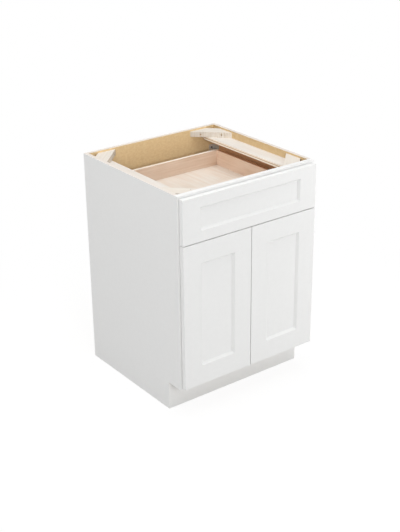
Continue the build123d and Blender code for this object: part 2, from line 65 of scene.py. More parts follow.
Colour = tuple[float, float, float, float]
Chip = tuple[int, int, int]
Span = tuple[float, float]
Point = tuple[float, float, float]
Names = tuple[str, ...]
Material = bpy.types.Material
Socket = bpy.types.NodeSocket
Input = Union[Socket, float, Colour, Vector, None]
Dent = Callable[[float, float], float]


class Axis(Enum):
    """An axis of the cabinet: width, depth or height."""

    X = 0
    Y = 1
    Z = 2

    @property
    def direction(self) -> Vector:
        """The axis as a unit vector."""
        return Vector([float(index == self.value) for index in range(3)])


class Door(Enum):
    """Which of the two doors."""

    LEFT = "left_door"
    RIGHT = "right_door"


class Lean(Enum):
    """Which way a corner block lies across its corner, as the sign of its run in depth."""

    FORWARD = 1.0
    BACKWARD = -1.0


def linear(level: int) -> float:
    """One channel of a screen colour, 0 to 255, in linear light."""
    share = level / 255
    return share / 12.92 if share <= 0.04045 else ((share + 0.055) / 1.055) ** 2.4


def chip(red: int, green: int, blue: int) -> Colour:
    """A colour chip read off a screen, as the linear colour that shaders take."""
    return linear(red), linear(green), linear(blue), 1.0


def deeper(colour: Colour, share: float) -> Colour:
    """The same colour, darker."""
    return colour[0] * share, colour[1] * share, colour[2] * share, 1.0


@dataclass(frozen=True)
class Tone:
    """The lighter and the darker colour of one finish."""

    light: Colour
    dark: Colour

    @classmethod
    def of(cls, light: Chip, dark: Chip) -> "Tone":
        """The tone between two colour chips."""
        return cls(chip(*light), chip(*dark))


class Nodes:
    """The node tree of a material or of the world, with short calls that add to it."""

    def __init__(self, tree: bpy.types.NodeTree) -> None:
        """Starts with an empty tree."""
        self.tree = tree
        self.tree.nodes.clear()

    def add(self, kind: str, *inputs: Input, out: Union[int, str] = 0, **settings: object) -> Socket:
        """Adds a node.

        Args:
            kind: Name of the node type, after the words that all of them begin with.
            *inputs: What its inputs are fed, in order.
            out: Which output is wanted.
            **settings: Properties of the node.

        Returns:
            The output.
        """
        made = self.tree.nodes.new(f"ShaderNode{kind}")
        for key, value in settings.items():
            setattr(made, key, value)
        for target, value in zip(made.inputs, inputs):
            self.feed(target, value)
        return made.outputs[out]

    def feed(self, target: Socket, value: Input) -> None:
        """Links a socket to an input, or sets a constant on it.

        Args:
            target: The input.
            value: A socket, a constant, or None to leave the input as it is.
        """
        if isinstance(value, bpy.types.NodeSocket):
            self.tree.links.new(value, target)
        elif value is not None:
            target.default_value = value

    def show(self, output: str, shader: Socket) -> None:
        """Ends the tree in an output that shows a shader."""
        self.feed(self.tree.nodes.new(f"ShaderNode{output}").inputs[0], shader)

    def math(self, operation: str, *operands: Input) -> Socket:
        """The result of a math node."""
        return self.add("Math", *operands, operation=operation)

    def seen_directly(self) -> Socket:
        """Tells rays that show a thing to the eye from rays that only light it.

        Returns:
            1 for rays from the camera, or through a reflection or a clear piece.
        """
        path = self.tree.nodes.new("ShaderNodeLightPath").outputs
        seen = path["Is Camera Ray"]
        for kind in ("Is Glossy Ray", "Is Transmission Ray"):
            seen = self.math("MAXIMUM", seen, path[kind])
        return seen


class Graph(Nodes):
    """The node tree of a material, with the patterns that the finishes are made of."""

    def __init__(self, name: str) -> None:
        """Starts a material that holds only its surface shader and its coordinates.

        Args:
            name: Name of the material.
        """
        self.material = bpy.data.materials.new(name)
        self.material.use_nodes = True
        super().__init__(self.material.node_tree)
        self.shader = self.tree.nodes.new("ShaderNodeBsdfPrincipled")
        self.place = self.tree.nodes.new("ShaderNodeTexCoord").outputs

    def along(self, direction: Vector) -> Socket:
        """The place along a direction of the cabinet, in metres."""
        return self.add("VectorMath", self.place["Object"], direction, out="Value", operation="DOT_PRODUCT")

    def facing(self, direction: Vector) -> Socket:
        """How squarely the surface faces along a direction, either way, from 0 to 1."""
        part = self.add("VectorMath", self.place["Normal"], direction, out="Value", operation="DOT_PRODUCT")
        return self.math("ABSOLUTE", part)

    def faces(self, direction: Vector) -> Socket:
        """1 where the surface faces along a direction, either way."""
        return self.math("GREATER_THAN", self.facing(direction), SQUARELY)

    def noise(self, where: Socket, repeats: float, detail: float) -> Socket:
        """Fractal noise about 0.5, with its repeats in a unit and its number of finer layers."""
        return self.add("TexNoise", where, None, repeats, detail, FINER)

    def mottle(self, repeats: float, detail: float = 3.0) -> Socket:
        """Even noise over the piece, with its repeats in a metre."""
        return self.noise(self.place["Object"], repeats, detail)

    def ramp(self, value: Socket, low: float, high: float, start: float = 0.0, end: float = 1.0) -> Socket:
        """Maps the range from low to high smoothly onto the one from start to end."""
        return self.add("MapRange", value, low, high, start, end, interpolation_type="SMOOTHSTEP")

    def blend(self, *parts: tuple[Socket, float]) -> Socket:
        """A weighted sum of values.

        Args:
            *parts: Each value with its weight.

        Returns:
            The sum.
        """
        total: Input = 0.0
        for value, weight in parts:
            total = self.math("MULTIPLY_ADD", value, weight, total)
        return total

    def mix(self, share: Socket, first: Input, second: Input) -> Socket:
        """Mixes two colours, with so large a share of the second."""
        return self.add("Mix", share, *[None] * 5, first, second, out=2, data_type="RGBA")

    def mix_value(self, share: Socket, first: Input, second: Input) -> Socket:
        """Mixes two values, with so large a share of the second."""
        return self.add("Mix", share, None, first, second, data_type="FLOAT")

    def set(self, **constants: float) -> None:
        """Sets constants on the surface shader's own sockets, by name with spaces as underscores."""
        for key, value in constants.items():
            self.shader.inputs[key.replace("_", " ")].default_value = value


@dataclass(frozen=True)
class Pattern:
    """Noise drawn out along the grain, with its repeats in a metre and its number of finer layers."""

    across: float
    along: float
    detail: float = 4.0

    def on(self, graph: Graph, grain: Vector, seed: float = 0.0) -> Socket:
        """Adds the pattern to a material.

        Args:
            graph: The material.
            grain: Direction of the grain, in plan or upright.
            seed: Moves the pattern, so that no two boards match.

        Returns:
            A value about 0.5.
        """
        side = Axis.X.direction if abs(grain.z) > SQUARELY else grain.cross(Axis.Z.direction)
        ways = ((grain, self.along), (side, self.across), (grain.cross(side), self.across))
        moved = [graph.math("MULTIPLY_ADD", graph.along(way), by, seed * SEED_STEP) for way, by in ways]
        return graph.noise(graph.add("CombineXYZ", *moved), 1.0, self.detail)


@dataclass
class Skin:
    """What one finish gives a surface: its colour, its roughness and its relief in metres."""

    colour: Socket
    roughness: Socket
    relief: Socket

    def wear(self, graph: Graph) -> Material:
        """Puts the skin on a material's shader.

        Args:
            graph: The material's nodes.

        Returns:
            The finished material.
        """
        inputs = graph.shader.inputs
        graph.feed(inputs["Base Color"], self.colour)
        graph.feed(inputs["Roughness"], self.roughness)
        graph.feed(inputs["Normal"], graph.add("Bump", None, 1.0, None, self.relief))
        graph.show("OutputMaterial", graph.shader.outputs[0])
        return graph.material

    def under(self, graph: Graph, share: Socket, over: "Skin") -> "Skin":
        """Lays another skin over this one where a mask is 1.

        Args:
            graph: The material.
            share: Mask of the upper skin.
            over: Upper skin.

        Returns:
            The two together.
        """
        return Skin(
            graph.mix(share, self.colour, over.colour),
            graph.mix_value(share, self.roughness, over.roughness),
            graph.mix_value(share, self.relief, over.relief),
        )


class Finish:
    """A finish that can be laid on a surface by itself or as one of several layers."""

    def skin(self, graph: Graph) -> Skin:
        """Adds the finish's nodes to a material."""
        raise NotImplementedError

    def shade(self, graph: Graph) -> None:
        """Sets the shader's constants for the finish."""

    def material(self, name: str) -> Material:
        """Makes a material of this finish alone.

        Args:
            name: Name of the material.

        Returns:
            The material.
        """
        graph = Graph(name)
        self.shade(graph)
        return self.skin(graph).wear(graph)


@dataclass(frozen=True)
class SatinPaint(Finish):
    """Sprayed white satin paint, with a faint orange peel and the grain just telling through."""

    grain: Axis = Axis.Z
    tone: Tone = Tone.of((236, 236, 235), (235, 235, 234))
    rough: Span = (0.34, 0.43)
    peel_repeats: float = 700.0
    patch_repeats: float = 60.0
    patch_span: Span = (0.35, 0.65)
    grain_pattern: Pattern = Pattern(260.0, 7.0, 3.0)
    relief: float = 0.015 * MM

    def shade(self, graph: Graph) -> None:
        """A little gloss over the paint."""
        graph.set(Specular_IOR_Level=0.35)

    def skin(self, graph: Graph) -> Skin:
        """Mottled white, peel and grain.

        Args:
            graph: The material.

        Returns:
            The paint's skin.
        """
        peel = graph.mottle(self.peel_repeats, detail=2.0)
        grain = self.grain_pattern.on(graph, self.grain.direction)
        patches = graph.ramp(graph.mottle(self.patch_repeats), *self.patch_span)
        colour = graph.mix(patches, self.tone.dark, self.tone.light)
        rough = graph.ramp(peel, *MIDDLE, *self.rough)
        return Skin(colour, rough, graph.blend((peel, self.relief), (grain, self.relief)))


@dataclass(frozen=True)
class Veneer(Finish):
    """Clear coated wood: a broad cloud, a figure, fine fibres and short pores along the grain."""

    tone: Tone
    grain: Axis = Axis.Z
    seed: float = 0.0
    rough: Span = (0.40, 0.53)
    cloud: float = 0.55
    figure: float = 0.20
    fibre: float = 0.25
    pores: float = 0.10
    rings: float = 60.0
    pore_span: Span = (0.60, 0.68)
    pore_shade: float = 0.55
    cloud_pattern: Pattern = Pattern(16.0, 7.0)
    figure_pattern: Pattern = Pattern(5.0, 0.8, 2.0)
    fibre_pattern: Pattern = Pattern(150.0, 4.0)
    pore_pattern: Pattern = Pattern(900.0, 45.0, 2.0)
    relief: float = 0.03 * MM

    def cut(self, grain: Axis, seed: float) -> "Veneer":
        """The same wood for one board, with its grain along an axis and a pattern of its own."""
        return replace(self, grain=grain, seed=seed)

    def shade(self, graph: Graph) -> None:
        """A thin clear coat."""
        graph.set(Specular_IOR_Level=0.3)

    def skin(self, graph: Graph) -> Skin:
        """Cloud, figure, fibres and pores.

        Args:
            graph: The material.

        Returns:
            The wood's skin.
        """
        run = self.grain.direction
        cloud = self.cloud_pattern.on(graph, run, self.seed)
        broad = self.figure_pattern.on(graph, run, self.seed + 0.5)
        rings = graph.math("SINE", graph.math("MULTIPLY", broad, self.rings))
        fibre = self.fibre_pattern.on(graph, run, self.seed)
        pore = graph.ramp(self.pore_pattern.on(graph, run, self.seed), *self.pore_span)
        shade = graph.blend(
            (graph.ramp(cloud, *MIDDLE), self.cloud),
            (graph.ramp(rings, *SWING), self.figure),
            (graph.ramp(fibre, *MIDDLE), self.fibre),
        )
        wood = graph.mix(shade, self.tone.light, self.tone.dark)
        in_pore = graph.math("MULTIPLY", pore, self.pores)
        colour = graph.mix(in_pore, wood, deeper(self.tone.dark, self.pore_shade))
        rough = graph.ramp(fibre, *WIDE, *self.rough)
        return Skin(colour, rough, graph.blend((fibre, self.relief), (pore, -self.relief)))


@dataclass(frozen=True)
class EndGrain(Finish):
    """The cut end of a solid board: darker, with fine open pores and growth rings."""

    tone: Tone
    rough: Span = (0.60, 0.75)
    ring_share: float = 0.5
    pore_share: float = 0.5
    ring_turns: float = 1500.0
    warp_repeats: float = 30.0
    warp: float = 14.0
    pore_repeats: float = 1600.0
    relief: float = 0.05 * MM

    def skin(self, graph: Graph) -> Skin:
        """Rings and pores.

        Args:
            graph: The material.

        Returns:
            The end's skin.
        """
        warp = graph.mottle(self.warp_repeats)
        height = graph.along(Axis.Z.direction)
        rings = graph.math("SINE", graph.blend((height, self.ring_turns), (warp, self.warp)))
        pore = graph.mottle(self.pore_repeats, detail=2.0)
        share = graph.blend((graph.ramp(rings, *SWING), self.ring_share), (pore, self.pore_share))
        colour = graph.mix(share, self.tone.light, self.tone.dark)
        return Skin(colour, graph.ramp(pore, *WIDE, *self.rough), graph.blend((pore, self.relief)))


@dataclass(frozen=True)
class PlyEdge(Finish):
    """The sawn edge of plywood: long-grain and end-grain plies in turn."""

    stack: Axis
    low: float
    high: float
    tone: Tone
    plies: int
    strength: float
    dark_share: float
    rough: Span = (0.62, 0.78)
    softness: float = 0.12
    waver: float = 0.16
    short_repeats: float = 40.0
    long_repeats: float = 4.0
    fibre: float = 0.2
    fibre_repeats: float = 900.0
    relief: float = 0.05 * MM

    def skin(self, graph: Graph) -> Skin:
        """Plies stacked through the thickness.

        Args:
            graph: The material.

        Returns:
            The edge's skin.
        """
        ply_height = (self.high - self.low) / self.plies
        through = graph.math("SUBTRACT", graph.along(self.stack.direction), self.low - ply_height / 2)
        through = graph.math("DIVIDE", through, ply_height)
        short_waver = (graph.mottle(self.short_repeats, detail=2.0), self.waver)
        long_waver = (graph.mottle(self.long_repeats, detail=1.0), -self.waver)
        turns = graph.math("PINGPONG", graph.blend((through, 1.0), short_waver, long_waver), 1.0)
        ply = graph.ramp(turns, self.dark_share - self.softness, self.dark_share + self.softness, 1.0, 0.0)
        fibre = graph.mottle(self.fibre_repeats)
        share = graph.blend((ply, self.strength), (fibre, self.fibre))
        colour = graph.mix(share, self.tone.light, self.tone.dark)
        rough = graph.ramp(fibre, *WIDE, *self.rough)
        return Skin(colour, rough, graph.blend((fibre, self.relief), (ply, -self.relief)))


@dataclass(frozen=True)
class SawnBlock(Finish):
    """Bare wood of a corner block: grain along the block and saw marks on its sawn faces."""

    tone: Tone
    lean: Lean
    seed: float
    rough: Span = (0.60, 0.76)
    streaks: float = 0.15
    saw_marks: float = 0.75
    mark_span: Span = (0.42, 0.60)
    patch_span: Span = (0.38, 0.62)
    faint_mark: float = 0.25
    streak_pattern: Pattern = Pattern(130.0, 5.0)
    mark_pattern: Pattern = Pattern(170.0, 12.0, 3.0)
    patch_pattern: Pattern = Pattern(26.0, 4.0, 1.0)
    streak_relief: float = 0.04 * MM
    mark_depth: float = 0.12 * MM

    def shade(self, graph: Graph) -> None:
        """Dry wood with hardly any gloss."""
        graph.set(Specular_IOR_Level=0.2)

    def skin(self, graph: Graph) -> Skin:
        """Long streaks everywhere, and upright saw marks on the two slanting faces.

        Args:
            graph: The material.

        Returns:
            The block's skin.
        """
        upright = Axis.Z.direction
        run = Vector((1.0, self.lean.value, 0.0)).normalized()
        streak = self.streak_pattern.on(graph, run, self.seed)
        cut = self.mark_pattern.on(graph, upright, self.seed)
        patch = self.patch_pattern.on(graph, upright, self.seed + 1.0)
        worn = graph.ramp(patch, *self.patch_span, self.faint_mark, 1.0)
        marks = graph.math("MULTIPLY", graph.ramp(cut, *self.mark_span), worn)
        marks = graph.math("MULTIPLY", marks, graph.faces(run.cross(upright)))
        share = graph.blend((graph.ramp(streak, *MIDDLE), self.streaks), (marks, self.saw_marks))
        colour = graph.mix(share, self.tone.light, self.tone.dark)
        rough = graph.ramp(streak, *WIDE, *self.rough)
        relief = graph.blend((streak, self.streak_relief), (marks, -self.mark_depth))
        return Skin(colour, rough, relief)


@dataclass(frozen=True)
class PlatedSteel(Finish):
    """Plated sheet steel, rolled along the depth of the cabinet."""

    tone: Tone
    rough: Span
    metal: float = 1.0
    cloud_repeats: float = 55.0
    cloud_span: Span = (0.35, 0.70)
    rolling_span: Span = (0.25, 0.75)
    rolling_pattern: Pattern = Pattern(1400.0, 20.0, 3.0)
    relief: float = 0.008 * MM

    def shade(self, graph: Graph) -> None:
        """Metal, or metal under a dull conversion coat."""
        graph.set(Metallic=self.metal)

    def skin(self, graph: Graph) -> Skin:
        """Rolling streaks and a cloudy plating.

        Args:
            graph: The material.

        Returns:
            The metal's skin.
        """
        rolled = self.rolling_pattern.on(graph, Axis.Y.direction)
        cloud = graph.ramp(graph.mottle(self.cloud_repeats, detail=4.0), *self.cloud_span)
        colour = graph.mix(cloud, self.tone.light, self.tone.dark)
        rough = graph.ramp(rolled, *self.rolling_span, *self.rough)
        return Skin(colour, rough, graph.blend((rolled, self.relief)))


@dataclass(frozen=True)
class ClearRubber(Finish):
    """Soft clear bumper rubber that has gone a little milky."""

    colour: Colour = chip(226, 226, 222)
    cloud_shade: float = 0.92
    cloud_repeats: float = 400.0
    rough: Span = (0.30, 0.42)
    relief: float = 0.02 * MM

    def shade(self, graph: Graph) -> None:
        """Light passes into the rubber."""
        graph.set(Transmission_Weight=0.35, IOR=1.45)

    def skin(self, graph: Graph) -> Skin:
        """Milky clouds.

        Args:
            graph: The material.

        Returns:
            The rubber's skin.
        """
        cloud = graph.mottle(self.cloud_repeats)
        colour = graph.mix(cloud, self.colour, deeper(self.colour, self.cloud_shade))
        return Skin(colour, graph.ramp(cloud, *MIDDLE, *self.rough), graph.blend((cloud, self.relief)))


@dataclass(frozen=True)
class OuterFace:
    """A plane of a board that has another finish: everything outside it along one axis."""

    axis: Axis
    at: float
    outward: int

    def mask(self, graph: Graph) -> Socket:
        """1 on the outer side of the plane."""
        beyond = graph.math("SUBTRACT", graph.along(self.axis.direction), self.at)
        return graph.math("GREATER_THAN", graph.math("MULTIPLY", beyond, float(self.outward)), -TINY)


@dataclass(frozen=True)
class ShadeBand:
    """A level band of a board's faces that has a veneer of its own: painted shade, a redder tone where deep
    shade falls.
    """

    low: float
    high: float
    soft: float
    veneer: Veneer

    def mask(self, graph: Graph) -> Socket:
        """Marks the band, with soft ends.

        Args:
            graph: The material.

        Returns:
            1 within the band.
        """
        height = graph.along(Axis.Z.direction)
        above = graph.ramp(height, self.low - self.soft, self.low + self.soft)
        below = graph.ramp(height, self.high - self.soft, self.high + self.soft, 1.0, 0.0)
        return graph.math("MULTIPLY", above, below)


def put_on(node: str, material: Material) -> None:
    """Puts one material on all of a CAD node.

    Args:
        node: Name of the node.
        material: The material.
    """
    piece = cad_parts[node]
    for holder in piece.material_slots:
        holder.material = material
    if not piece.material_slots:
        piece.data.materials.append(material)
    LOG.info("dressed %s with %s", node, material.name)


@dataclass(frozen=True)
class PlyBoard:
    """A plywood board: veneer on its faces, plies on its edges, and another finish on its outer face."""

    node: str
    veneer: Veneer
    stack: Axis
    edge: Tone = Tone.of((229, 222, 215), (211, 198, 183))
    plies: int = 5
    ply_strength: float = 0.20
    dark_share: float = 0.5
    flat_on: float = 0.95
    band: Optional[ShadeBand] = None
    outer_face: Optional[OuterFace] = None
    outer_finish: Finish = SatinPaint()

    def dress(self) -> None:
        """Makes the board's material and puts it on the CAD node."""
        low, high = (corner[self.stack.value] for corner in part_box(self.node))
        graph = Graph(self.node)
        self.veneer.shade(graph)
        edge = PlyEdge(self.stack, low, high, self.edge, self.plies, self.ply_strength, self.dark_share)
        on_edge = graph.math("LESS_THAN", graph.facing(self.stack.direction), self.flat_on)
        skin = self.veneer.skin(graph)
        # The band lays painted shade, a redder veneer, over the faces beside the drawer.
        if self.band:
            skin = skin.under(graph, self.band.mask(graph), self.band.veneer.skin(graph))
        skin = skin.under(graph, on_edge, edge.skin(graph))
        if self.outer_face:
            skin = skin.under(graph, self.outer_face.mask(graph), self.outer_finish.skin(graph))
        put_on(self.node, skin.wear(graph))


@dataclass(frozen=True)
class SolidBoard:
    """A solid wood board: long grain on its faces, end grain on its ends, and an upper edge of its own."""

    node: str
    wood: Veneer
    upper_edge: Veneer
    end_light: float = 0.85
    end_dark: float = 0.7

    def dress(self) -> None:
        """Makes the board's material and puts it on the CAD node."""
        graph = Graph(self.node)
        self.wood.shade(graph)
        tone = self.wood.tone
        end = EndGrain(Tone(deeper(tone.light, self.end_light), deeper(tone.dark, self.end_dark)))
        skin = self.wood.skin(graph)
        skin = skin.under(graph, graph.faces(self.wood.grain.direction), end.skin(graph))
        skin = skin.under(graph, graph.faces(Axis.Z.direction), self.upper_edge.skin(graph))
        put_on(self.node, skin.wear(graph))


def solids_of(node: str) -> list[np.ndarray]:
    """Finds the separate solids of a CAD node.

    Args:
        node: Name of the node.

    Returns:
        The points of each solid.
    """
    mesh = bmesh.new()
    mesh.from_mesh(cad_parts[node].data)
    bmesh.ops.remove_doubles(mesh, verts=mesh.verts, dist=WELD)
    found: list[np.ndarray] = []
    seen: set[bmesh.types.BMVert] = set()
    for first in mesh.verts:
        if first in seen:
            continue
        seen.add(first)
        solid = [first]
        for vertex in solid:
            for edge in vertex.link_edges:
                other = edge.other_vert(vertex)
                if other not in seen:
                    seen.add(other)
                    solid.append(other)
        found.append(np.array([vertex.co for vertex in solid]))
    mesh.free()
    return found


class Bench:
    """Gathers the solids of one new piece and hangs the piece on a body of the cabinet."""

    def __init__(self) -> None:
        """Starts with nothing on the bench."""
        self.mesh = bmesh.new()

    def ring(self, middle: Vector, axes: Matrix, radius: float, segments: int,
             dent: Optional[Dent]) -> list[bmesh.types.BMVert]:
        """Adds a ring of points.

        Args:
            middle: Middle of the ring.
            axes: Columns are the two directions across the axis, and the axis.
            radius: Radius of the ring.
            segments: Number of points.
            dent: How far a point sinks along the axis, from its place across it.

        Returns:
            The points.
        """
        points = []
        for index in range(segments):
            turn = 2.0 * math.pi * index / segments
            x, y = radius * math.cos(turn), radius * math.sin(turn)
            sink = dent(x, y) if dent else 0.0
            points.append(self.mesh.verts.new(middle + axes @ Vector((x, y, -sink))))
        return points

    def turn(self, profile: Sequence[Span], seat: Vector, axis: Vector, segments: int = 24,
             dent: Optional[Dent] = None) -> None:
        """Adds a turned solid.

        Args:
            profile: Radius and height of each ring, from the top down.
            seat: Point of the axis at height 0.
            axis: Direction of growing height.
            segments: Points in each ring.
            dent: How far a point of the top sinks, from its place across the axis.
        """
        side = axis.orthogonal().normalized()
        axes = Matrix((side, axis.cross(side), axis)).transposed()
        rings = []
        for radius, height in profile:
            sunk = dent if height > 0 else None
            rings.append(self.ring(seat + axis * height, axes, radius, segments, sunk))
        for upper, lower in zip(rings, rings[1:]):
            for index in range(segments):
                after = (index + 1) % segments
                self.mesh.faces.new((upper[index], lower[index], lower[after], upper[after]))
        self.mesh.faces.new(rings[0])
        self.mesh.faces.new(rings[-1][::-1])

    def slab(self, upper: Sequence[Vector], lower: Sequence[Vector]) -> None:
        """Adds a solid between two outlines of as many points.

        Args:
            upper: Upper outline, counterclockwise from above.
            lower: Lower outline, in the same order.
        """
        top = [self.mesh.verts.new(point) for point in upper]
        base = [self.mesh.verts.new(point) for point in lower]
        self.mesh.faces.new(top)
        self.mesh.faces.new(base[::-1])
        for index, corner in enumerate(top):
            after = (index + 1) % len(top)
            self.mesh.faces.new((corner, base[index], base[after], top[after]))

    def hang(self, node: str, body: str, slot: str, material: Material,
             smooth_below: float = 40.0) -> None:
        """Makes the piece that stands for a CAD node.

        Args:
            node: CAD node that the piece replaces.
            body: Body that it rides on.
            slot: Material slot of the record; not used.
            material: Its material.
            smooth_below: Faces that meet at less than this angle in degrees shade as one.
        """
        bmesh.ops.recalc_face_normals(self.mesh, faces=self.mesh.faces)
        for face in self.mesh.faces:
            face.smooth = True
        for edge in self.mesh.edges:
            edge.smooth = edge.calc_face_angle(math.pi) < math.radians(smooth_below)
        data = bpy.data.meshes.new(f"{node}_detail")
        self.mesh.to_mesh(data)
        self.mesh.free()
        data.materials.append(material)
        piece = bpy.data.objects.new(f"{node}_detail", data)
        bpy.context.scene.collection.objects.link(piece)
        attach(piece, body)
        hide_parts(node)
        LOG.info("made %s with %d faces", piece.name, len(data.polygons))


@dataclass(frozen=True)
class ScrewSeat:
    """Where a screw sits in the CAD model, and its sizes."""

    point: Vector
    outward: Vector
    head_radius: float
    head_height: float
    shank_radius: float
    length: float

    @classmethod
    def read(cls, points: np.ndarray) -> "ScrewSeat":
        """Reads a screw off the points of its plain solid.

        Args:
            points: Points of a head and a shank that are plain cylinders.

        Returns:
            The seat under the head.
        """
        middle = points.mean(0)
        lengthwise = np.linalg.svd(points - middle)[2][0]
        reach = (points - middle) @ lengthwise
        ends = [points[reach < reach.min() + TINY], points[reach > reach.max() - TINY]]
        spreads = [np.linalg.norm(end - end.mean(0), axis=1).max() for end in ends]
        if spreads[0] < spreads[1]:
            ends.reverse()
        top, tip = (end.mean(0) for end in ends)
        whole = float(np.linalg.norm(tip - top))
        into = (tip - top) / whole
        depth = (points - top) @ into
        off = np.linalg.norm(points - top - np.outer(depth, into), axis=1)
        head_radius = float(max(spreads))
        shank_radius = float(min(spreads))
        head_height = float(depth[off > (head_radius + shank_radius) / 2].max())
        point = Vector(top + into * head_height)
        return cls(point, Vector(-into), head_radius, head_height, shank_radius, whole - head_height)


@dataclass(frozen=True)
class CrossHeadScrew:
    """A domed screw with a cross recess, a threaded shank and a point, fitted to the sizes of its seat."""

    rim_share: float = 0.35
    dome_shares: tuple[float, ...] = (0.10, 0.22, 0.34, 0.46, 0.58, 0.68, 0.80, 0.90, 1.0)
    recess_half_width: float = 0.17
    recess_reach: float = 0.66
    recess_depth: float = 0.75
    recess_slope: float = 0.5
    thread_pitch: float = 1.6 * MM
    thread_depth: float = 0.25
    thread_start: float = 0.4
    thread_crest: float = 0.7
    point_share: float = 0.18
    tip_share: float = 0.08
    segments: int = 40

    def make(self, bench: Bench, seat: ScrewSeat) -> None:
        """Adds the screw to a bench.

        Args:
            bench: Where the piece is gathered.
            seat: Where it goes.
        """
        radius, height = seat.head_radius, seat.head_height
        profile = []
        for share in self.dome_shares:
            dome = math.sqrt(max(0.0, 1.0 - share**2))
            profile.append((radius * share, height * (self.rim_share + (1.0 - self.rim_share) * dome)))
        profile.append((radius, 0.0))
        profile += self.shank(seat)

        def recess(x: float, y: float) -> float:
            """Finds the depth of the cross at a point of the dome.

            Args:
                x: Place across the screw.
                y: Place across the screw, the other way.

            Returns:
                The depth.
            """
            near, far = sorted((abs(x) / radius, abs(y) / radius))
            if near > self.recess_half_width or far > self.recess_reach:
                return 0.0
            return height * self.recess_depth * (1.0 - self.recess_slope * far / self.recess_reach)

        bench.turn(profile, seat.point, seat.outward, self.segments, recess)

    def shank(self, seat: ScrewSeat) -> list[Span]:
        """The thread's rings from the head to the point.

        Args:
            seat: Where the screw goes.

        Returns:
            Radius and height of each ring.
        """
        root = seat.shank_radius * (1.0 - self.thread_depth)
        rings = [(root, 0.0)]
        turns = int(seat.length * (1.0 - self.point_share) / self.thread_pitch)
        for turn in range(turns):
            rings.append((root, -(turn + self.thread_start) * self.thread_pitch))
            rings.append((seat.shank_radius, -(turn + self.thread_crest) * self.thread_pitch))
            rings.append((root, -(turn + 1.0) * self.thread_pitch))
        rings.append((seat.shank_radius * self.tip_share, -seat.length))
        return rings


@dataclass(frozen=True)
class Screws:
    """All the screws of one CAD node."""

    node: str
    body: str
    finish: PlatedSteel
    pattern: CrossHeadScrew = CrossHeadScrew()

    def build(self) -> None:
        """Makes each screw where its plain solid is."""
        bench = Bench()
        for points in solids_of(self.node):
            self.pattern.make(bench, ScrewSeat.read(points))
        bench.hang(self.node, self.body, "screw_steel", self.finish.material(f"{self.node}_plating"))


@dataclass(frozen=True)
class Bumpers:
    """Stick-on rubber domes on the back of a front, with the dome's profile as shares of its size."""

    node: str
    body: str
    finish: ClearRubber = ClearRubber()
    segments: int = 32
    profile: tuple[Span, ...] = (
        (0.12, 1.00), (0.35, 0.98), (0.58, 0.92), (0.76, 0.81),
        (0.90, 0.62), (0.97, 0.40), (1.00, 0.15), (1.00, 0.0),
    )

    def build(self) -> None:
        """Makes each dome where its plain disc is."""
        bench = Bench()
        for points in solids_of(self.node):
            low, high = Vector(points.min(0)), Vector(points.max(0))
            radius = (high.x - low.x) / 2
            seat = Vector(((low.x + high.x) / 2, low.y, (low.z + high.z) / 2))
            shape = [(across * radius, up * (high.y - low.y)) for across, up in self.profile]
            bench.turn(shape, seat, Axis.Y.direction, self.segments)
        bench.hang(self.node, self.body, "bumper_rubber", self.finish.material(f"{self.node}_rubber"))


@dataclass(frozen=True)
class ShelfPins:
    """Spoon pins that carry the shelf: a round peg in the side and a rounded rest under the shelf."""

    node: str
    body: str
    finish: PlatedSteel
    peg_length: float = 10.0 * MM
    peg_radius: float = 2.5 * MM
    tip_chamfer: float = 0.7 * MM
    rest_thickness: float = 3.0 * MM
    corner_radius: float = 3.4 * MM
    underside_taper: float = 0.7 * MM
    corner_steps: int = 6

    def build(self) -> None:
        """Makes each pin where its plain solid is."""
        bench = Bench()
        for points in solids_of(self.node):
            self.make(bench, Vector(points.min(0)), Vector(points.max(0)))
        bench.hang(self.node, self.body, "hinge_nickel", self.finish.material("shelf_pin_nickel"))

    def make(self, bench: Bench, low: Vector, high: Vector) -> None:
        """Adds one pin.

        Args:
            bench: Where the piece is gathered.
            low: Lowest corner of the plain pin.
            high: Highest corner of the plain pin.
        """
        inward = 1.0 if low.x < 0 else -1.0
        tip_x = low.x if inward > 0 else high.x
        root = Vector((tip_x + inward * self.peg_length, (low.y + high.y) / 2, high.z))
        shoulder = (self.peg_radius, self.peg_length - self.tip_chamfer)
        peg = [(self.peg_radius - self.tip_chamfer, self.peg_length), shoulder, (self.peg_radius, 0.0)]
        upright = Axis.Z.direction
        bench.turn(peg, root - upright * self.peg_radius, Axis.X.direction * -inward)
        length = high.x - low.x - self.peg_length
        width = high.y - low.y
        upper = self.rest_outline(root, inward, length, width)
        taper = self.underside_taper
        below = root - upright * self.rest_thickness
        bench.slab(upper, self.rest_outline(below, inward, length - taper, width - 2.0 * taper))

    def rest_outline(self, root: Vector, inward: float, length: float, width: float) -> list[Vector]:
        """Plan of the rest, with its two free corners rounded.

        Args:
            root: Middle of its edge at the face of the side.
            inward: Sign of X toward the inside.
            length: How far the rest stands out.
            width: Its width.

        Returns:
            The points in order.
        """
        radius = self.corner_radius
        half = width / 2
        plan = [(0.0, -half)]
        for corner_y, start in ((radius - half, -90.0), (half - radius, 0.0)):
            for step in range(self.corner_steps + 1):
                turn = math.radians(start + 90.0 * step / self.corner_steps)
                plan.append((length - radius + radius * math.cos(turn), corner_y + radius * math.sin(turn)))
        plan.append((0.0, half))
        return [root + Vector((inward * x, y, 0.0)) for x, y in plan]


def mottled(light: Chip, dark: Chip) -> Veneer:
    """A rotary cut veneer, more mottled than striped."""
    tone = Tone.of(light, dark)
    return Veneer(tone, cloud=0.50, figure=0.05, fibre=0.12, cloud_pattern=Pattern(80.0, 140.0))


